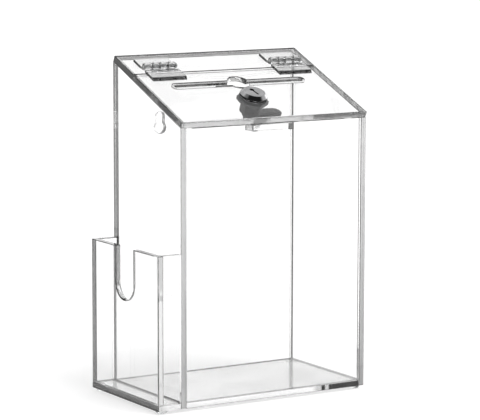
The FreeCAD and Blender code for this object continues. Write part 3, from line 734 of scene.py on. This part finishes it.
def lock_fittings(zinc):
    bore = BODY_RADIUS + 0.1
    bm = bmesh.new()
    lathe(bm, [(bore, WASHER_TOP), (WASHER_RADIUS - 0.15, WASHER_TOP), (WASHER_RADIUS, WASHER_TOP - 0.15),
               (WASHER_RADIUS, WASHER_UNDER + 0.25), (WASHER_RADIUS - 0.2, WASHER_UNDER + 0.05),
               (bore, WASHER_UNDER + 0.05)], 72, closed=True)
    obj = to_mesh_object(bm, "lid_washer", placed(LOCK_POINT))
    finish_piece(obj, zinc, "lid", "lock_washer")
    bm = bmesh.new()
    hexagon_stack(bm, NUT_HALF_FLATS, bore, WASHER_UNDER, NUT_UNDER)
    obj = to_mesh_object(bm, "lock_ring_nut", placed(LOCK_POINT))
    finish_piece(obj, zinc, "lid", "lock_nut", 20)
    bm = bmesh.new()
    straight = CAM_REACH - CAM_HALF_WIDTH
    tongue = circle(CAM_HALF_WIDTH, 25, 0, 0, 90, 180) + circle(CAM_HALF_WIDTH, 25, straight, 0, -90, 180)
    side = SHANK_HALF_SIDE + 0.1
    square = [(-side, -side), (side, -side), (side, side), (-side, side)]
    outline_plate(bm, [tongue, square], CAM_UNDER, CAM_TOP, 0.35)
    obj = to_mesh_object(bm, "cam_tongue", placed(LOCK_POINT))
    finish_piece(obj, zinc, "lock_barrel", "lock_cam")
    bm = bmesh.new()
    lathe(bm, [(2.6, CAM_UNDER - 0.03), (5.85, CAM_UNDER - 0.03), (6.0, CAM_UNDER - 0.2),
               (6.0, CAM_WASHER_UNDER + 0.2), (5.8, CAM_WASHER_UNDER), (2.6, CAM_WASHER_UNDER)],
          48, closed=True)
    obj = to_mesh_object(bm, "tongue_washer", placed(LOCK_POINT))
    finish_piece(obj, zinc, "lock_barrel", "cam_washer")
    bm = bmesh.new()
    hexagon_stack(bm, 4.0, 0, CAM_WASHER_UNDER - 0.02, SCREW_UNDER)
    lathe(bm, [(0, CAM_WASHER_UNDER), (2.45, CAM_WASHER_UNDER), (2.45, CAM_TOP + 5), (0, CAM_TOP + 5.4)], 24)
    obj = to_mesh_object(bm, "tongue_screw", placed(LOCK_POINT))
    finish_piece(obj, zinc, "lock_barrel", "cam_screw", 20)


# ---- hinges -----------------------------------------------------------------------------------
def along_pin(bm, profile, segments):
    """Turn (radius, x) points about the pin."""
    start = len(bm.verts)
    lathe(bm, profile, segments)
    bm.verts.ensure_lookup_table()
    swing = Matrix.Rotation(math.radians(90), 4, "Y")
    bmesh.ops.transform(bm, matrix=swing, verts=bm.verts[start:])


def bead(bm, x0, x1):
    """One knuckle, rounded like a bead."""
    radius, rounding = KNUCKLE_RADIUS, KNUCKLE_ROUNDING
    arc = [math.radians(a) for a in (90, 67, 45, 22, 0)]
    left = [(radius - rounding + rounding * math.cos(a), x0 + rounding - rounding * math.sin(a)) for a in arc]
    right = [(r, x0 + x1 - x) for r, x in reversed(left)]
    along_pin(bm, [(0, x0)] + left + right + [(0, x1)], 32)


def hinge_leaf(name, x_centre, rear, body, material, replaced):
    place = placed(HINGE_POINT, x_centre)
    if rear:
        outline = [(LEAF_HEEL, LEAF_UNDER), (LEAF_REAR_END, LEAF_UNDER), (LEAF_REAR_END, LEAF_TOP - 0.3),
                   (LEAF_REAR_END - 0.3, LEAF_TOP), (LEAF_HEEL, LEAF_TOP)]
    else:
        outline = [(LEAF_FRONT_END, LEAF_UNDER), (LID_END, LEAF_UNDER), (LID_END, LEAF_UNDER + LEAF_RELIEF),
                   (-LEAF_HEEL, LEAF_UNDER + LEAF_RELIEF), (-LEAF_HEEL, LEAF_TOP),
                   (LEAF_FRONT_END + LEAF_BEVEL, LEAF_TOP)]
    bm = bmesh.new()
    prism(bm, outline, -HINGE_HALF_WIDTH + 0.02, HINGE_HALF_WIDTH - 0.02)
    leaf = to_mesh_object(bm, name, place)
    tools = []
    x = -HINGE_HALF_WIDTH + 0.02
    for i, length in enumerate((KNUCKLE_LONG, KNUCKLE_SHORT, KNUCKLE_LONG, KNUCKLE_SHORT)):
        if (i % 2 == 0) == rear:
            bm = bmesh.new()
            bead(bm, x, x + length)
            tools.append(to_mesh_object(bm, "bead", place))
            bm = bmesh.new()
            web = [(0, LEAF_UNDER + LEAF_RELIEF), (LEAF_HEEL + 0.8, LEAF_UNDER + LEAF_RELIEF),
                   (LEAF_HEEL + 0.8, LEAF_TOP - 0.05), (0, LEAF_TOP - 0.05)]
            if not rear:
                web = [(-s, w) for s, w in web]
            prism(bm, web, x + 0.4, x + length - 0.4)
            tools.append(to_mesh_object(bm, "web", place))
        x += length + KNUCKLE_GAP
    leaf = combined(leaf, tools, "UNION")
    bm = bmesh.new()
    bore = PIN_RADIUS + 0.05
    reach = HINGE_HALF_WIDTH + 1
    along_pin(bm, [(0, -reach), (bore, -reach), (bore, reach), (0, reach)], 24)
    leaf = combined(leaf, [to_mesh_object(bm, "bore", place)], "DIFFERENCE")
    rounding = leaf.modifiers.new("round_off", "BEVEL")
    rounding.width = 0.22 * MM
    rounding.segments = 2
    rounding.limit_method = "ANGLE"
    rounding.angle_limit = math.radians(38)
    finish_piece(leaf, material, body, replaced)


def hinge_pin(name, x_centre, material, replaced):
    head = HINGE_HALF_WIDTH - PIN_HEAD_LENGTH
    arc = [math.radians(a) for a in (0, 15, 30, 45, 60, 75)]
    dome = [(PIN_HEAD_RADIUS * math.cos(a), head + 0.3 + (PIN_HEAD_LENGTH - 0.35) * math.sin(a)) for a in arc]
    bm = bmesh.new()
    profile = [(0, -HINGE_HALF_WIDTH + 0.05), (PIN_RADIUS - 0.25, -HINGE_HALF_WIDTH + 0.05),
               (PIN_RADIUS, -HINGE_HALF_WIDTH + 0.3), (PIN_RADIUS, head), (PIN_HEAD_RADIUS - 0.1, head)]
    along_pin(bm, profile + dome + [(0, HINGE_HALF_WIDTH - 0.05)], 32)
    obj = to_mesh_object(bm, name, placed(HINGE_POINT, x_centre))
    finish_piece(obj, material, "box", replaced)


def build_hinges(plastic, painted_shade_leaf):
    middle = LOCK_POINT.x / MM
    for side, sign in (("left", -1), ("right", 1)):
        x = middle + sign * HINGE_OFFSET - HINGE_POINT.x / MM
        stem = "hinge_" + side
        hinge_leaf(side + "_hinge_rear", x, True, "box", painted_shade_leaf, stem + "_rear_leaf")
        hinge_leaf(side + "_hinge_front", x, False, "lid", painted_shade_leaf, stem + "_front_leaf")
        hinge_pin(side + "_hinge_pin", x, plastic, stem + "_pin")


# ---- feet -------------------------------------------------------------------------------------
def build_feet(rubber):
    for end in ("front", "rear"):
        for side in ("left", "right"):
            node = "foot_" + end + "_" + side
            low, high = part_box(node)
            bm = bmesh.new()
            lathe(bm, FOOT_PROFILE, 48)
            middle = Vector(((low.x + high.x) / 2, (low.y + high.y) / 2, 0))
            place = Matrix.Translation(middle) @ Matrix.Scale(MM, 4)
            obj = to_mesh_object(bm, "bumper_" + end + "_" + side, place)
            finish_piece(obj, rubber, "box", node, 40)


# ---- studio -----------------------------------------------------------------------------------
def camera_side():
    """Level direction from the object towards the camera."""
    azimuth = math.radians(CAMERA_AZIMUTH_DEG)
    return Vector((math.sin(azimuth), -math.cos(azimuth), 0))


def build_camera():
    elevation = math.radians(CAMERA_ELEVATION_DEG)
    lid_low, lid_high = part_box("hinged_lid")
    aim = Vector(((lid_low.x + lid_high.x) / 2, 0, CAMERA_AIM_Z_M))
    away = camera_side() * math.cos(elevation) + Vector((0, 0, math.sin(elevation)))
    data = bpy.data.cameras.new("camera")
    data.lens = CAMERA_LENS_MM
    data.sensor_width = 36
    data.clip_end = 50
    camera = bpy.data.objects.new("camera", data)
    facing = away.to_track_quat("Z", "Y").to_matrix().to_4x4()
    roll = Matrix.Rotation(math.radians(CAMERA_ROLL_DEG), 4, "Z")
    camera.matrix_world = Matrix.Translation(aim + away * CAMERA_DISTANCE_M) @ facing @ roll
    bpy.context.scene.collection.objects.link(camera)
    bpy.context.scene.camera = camera


def build_world():
    """A soft studio: a pale sweep behind the object, grey walls, and a dark side behind the camera."""
    world = bpy.data.worlds.new("studio")
    bpy.context.scene.world = world
    world.use_nodes = True
    nodes, links = world.node_tree.nodes, world.node_tree.links
    direction = nodes.new("ShaderNodeTexCoord").outputs["Generated"]
    forward = dot_node(nodes, links, direction, tuple(camera_side()))
    height = dot_node(nodes, links, direction, (0, 0, 1))
    walls = smooth_step(nodes, links, forward, -0.1, 0.35, ROOM_GREY, ROOM_DARK)
    behind = smooth_step(nodes, links, forward, -0.35, -0.75)
    low = smooth_step(nodes, links, height, 0.55, 0.2)
    behind_low = math_node(nodes, links, "MULTIPLY", behind, low)
    sweep = math_node(nodes, links, "MULTIPLY", behind_low, BACKDROP_GLOW)
    to_left = dot_node(nodes, links, direction, LEFT_LIGHT_DIRECTION)
    left = smooth_step(nodes, links, to_left, 0.80, 0.92, 0.0, LEFT_LIGHT)
    top = smooth_step(nodes, links, height, 0.80, 0.92, 0.0, TOP_LIGHT)
    to_high = dot_node(nodes, links, direction, HIGH_LIGHT_DIRECTION)
    high = smooth_step(nodes, links, to_high, 0.86, 0.95, 0.0, HIGH_LIGHT)
    top = math_node(nodes, links, "ADD", top, high)
    total = math_node(nodes, links, "ADD", math_node(nodes, links, "ADD", walls, sweep),
                      math_node(nodes, links, "ADD", left, top))
    links.new(total, nodes["Background"].inputs["Strength"])
    nodes["Background"].inputs["Color"].default_value = (1, 1, 1, 1)


def build_sun():
    data = bpy.data.lights.new("key", "SUN")
    data.energy = KEY_STRENGTH
    data.angle = math.radians(KEY_SPREAD_DEG)
    sun = bpy.data.objects.new("key", data)
    sun.visible_glossy = False
    sun.rotation_euler = Vector(KEY_DIRECTION).to_track_quat("Z", "Y").to_euler()
    bpy.context.scene.collection.objects.link(sun)


def build_floor():
    mesh = bpy.data.meshes.new("floor")
    size = FLOOR_HALF_SIZE_M
    corners = [(-size, -size, 0), (size, -size, 0), (size, size, 0), (-size, size, 0)]
    mesh.from_pydata(corners, [], [(0, 1, 2, 3)])
    floor = bpy.data.objects.new("floor", mesh)
    bpy.context.scene.collection.objects.link(floor)
    material, nodes, _ = new_material("floor")
    shader = nodes["Principled BSDF"]
    shader.inputs["Base Color"].default_value = (FLOOR_WHITE, FLOOR_WHITE, FLOOR_WHITE, 1)
    shader.inputs["Roughness"].default_value = 1.0
    shader.inputs["Specular IOR Level"].default_value = 0.0
    shader.inputs["Emission Color"].default_value = (1, 1, 1, 1)
    shader.inputs["Emission Strength"].default_value = FLOOR_GLOW
    mesh.materials.append(material)


dress_sheets()
chrome = metal("lock_chrome", (0.74, 0.74, 0.75), (0.60, 0.60, 0.61), 0.04, 0.14, 1800.0, 0.08)
zinc = metal("zinc_steel", (0.035, 0.035, 0.036), (0.015, 0.015, 0.016), 0.28, 0.46, 900.0, 0.3)
dark = metal("keyway_steel", (0.05, 0.05, 0.05), (0.02, 0.02, 0.02), 0.4, 0.6, 1200.0, 0.3)
brass = metal("wafer_brass", (0.20, 0.16, 0.09), (0.10, 0.08, 0.04), 0.35, 0.5, 1200.0, 0.2)
plastic = clear_moulding("clear_plastic", (0.62, 0.63, 0.63), MOULDED_IOR, 160.0, 0.08, 0.0, 0.05)
rubber = clear_moulding("clear_rubber", (0.86, 0.87, 0.87), 1.45, 500.0, 0.2, 0.06, 0.18)
lock_housing(chrome, zinc, dark)
lock_plug(chrome, dark)
lock_wafers(brass)
lock_fittings(zinc)
build_hinges(plastic, leaf_plastic())
build_feet(rubber)
build_world()
build_sun()
build_floor()
build_camera()

scene = bpy.context.scene
scene.view_settings.view_transform = "Standard"
scene.cycles.max_bounces = 24
scene.cycles.transmission_bounces = 24
scene.cycles.glossy_bounces = 12
scene.cycles.transparent_max_bounces = 16

bpy.context.view_layer.update()
